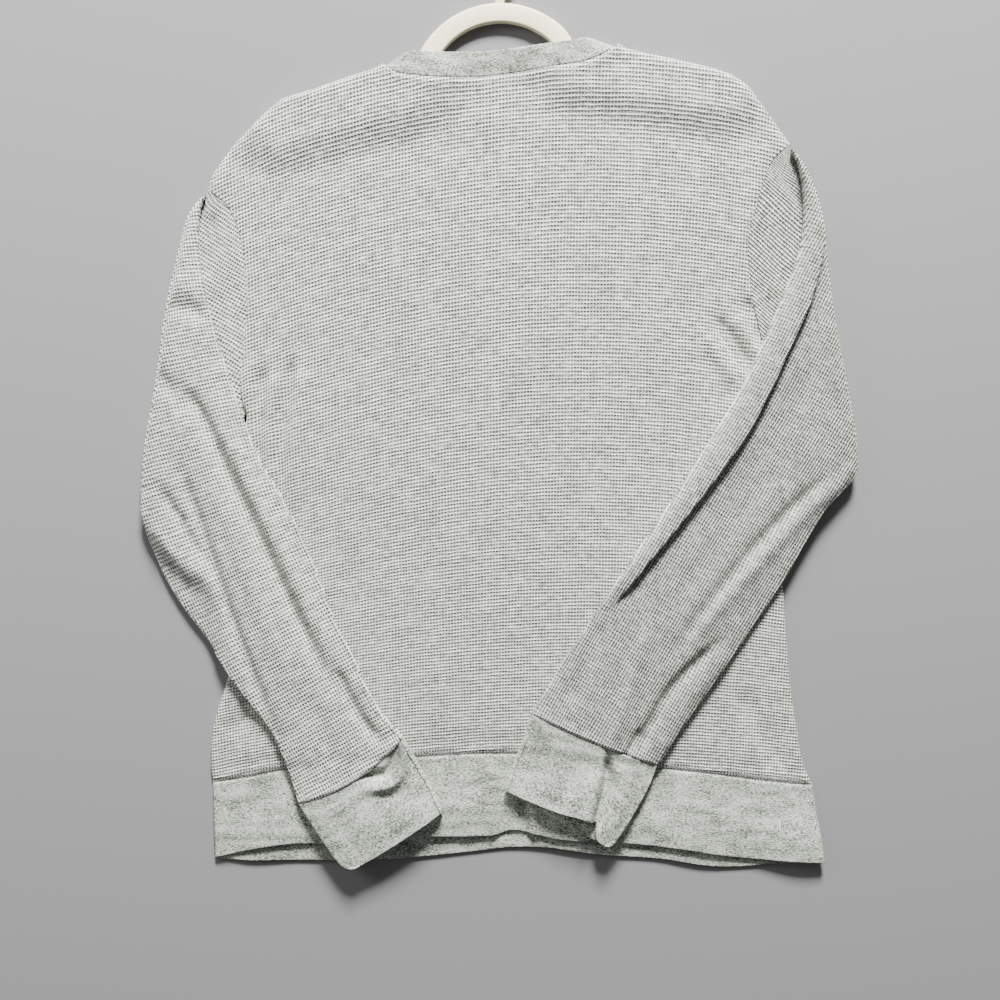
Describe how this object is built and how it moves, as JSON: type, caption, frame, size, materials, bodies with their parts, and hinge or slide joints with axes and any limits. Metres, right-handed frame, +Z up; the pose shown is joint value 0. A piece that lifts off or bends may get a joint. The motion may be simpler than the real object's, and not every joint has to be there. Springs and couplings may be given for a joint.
{
  "type": "waffle-knit thermal top on a hanger",
  "caption": "Long-sleeved waffle-knit thermal top laid face down with its hanger inside and its sleeves folded over the back, the cuffs on the hem band.",
  "frame": {"origin": "on the surface the garment lies on, under the middle of the whole object's box", "axes": "+Z up off the surface, +Y from the hem to the neck, +X to the right as seen from above, which is the side of the wearer's right arm, since the back lies uppermost"},
  "size_m": [0.6598, 0.8572, 0.0155],
  "materials": {
    "waffle_knit": "matte, heather",
    "plain_jersey": "matte, heather",
    "hanger_plastic": "satin"
  },
  "bodies": {
    "root": {"front_panel": "waffle_knit", "back_panel": "waffle_knit", "sleeve_left": "waffle_knit", "sleeve_right": "waffle_knit", "cuff_left": "plain_jersey", "cuff_right": "plain_jersey", "neckband": "plain_jersey", "hem_band": "plain_jersey", "hanger": "hanger_plastic"}
  },
  "joints": []
}
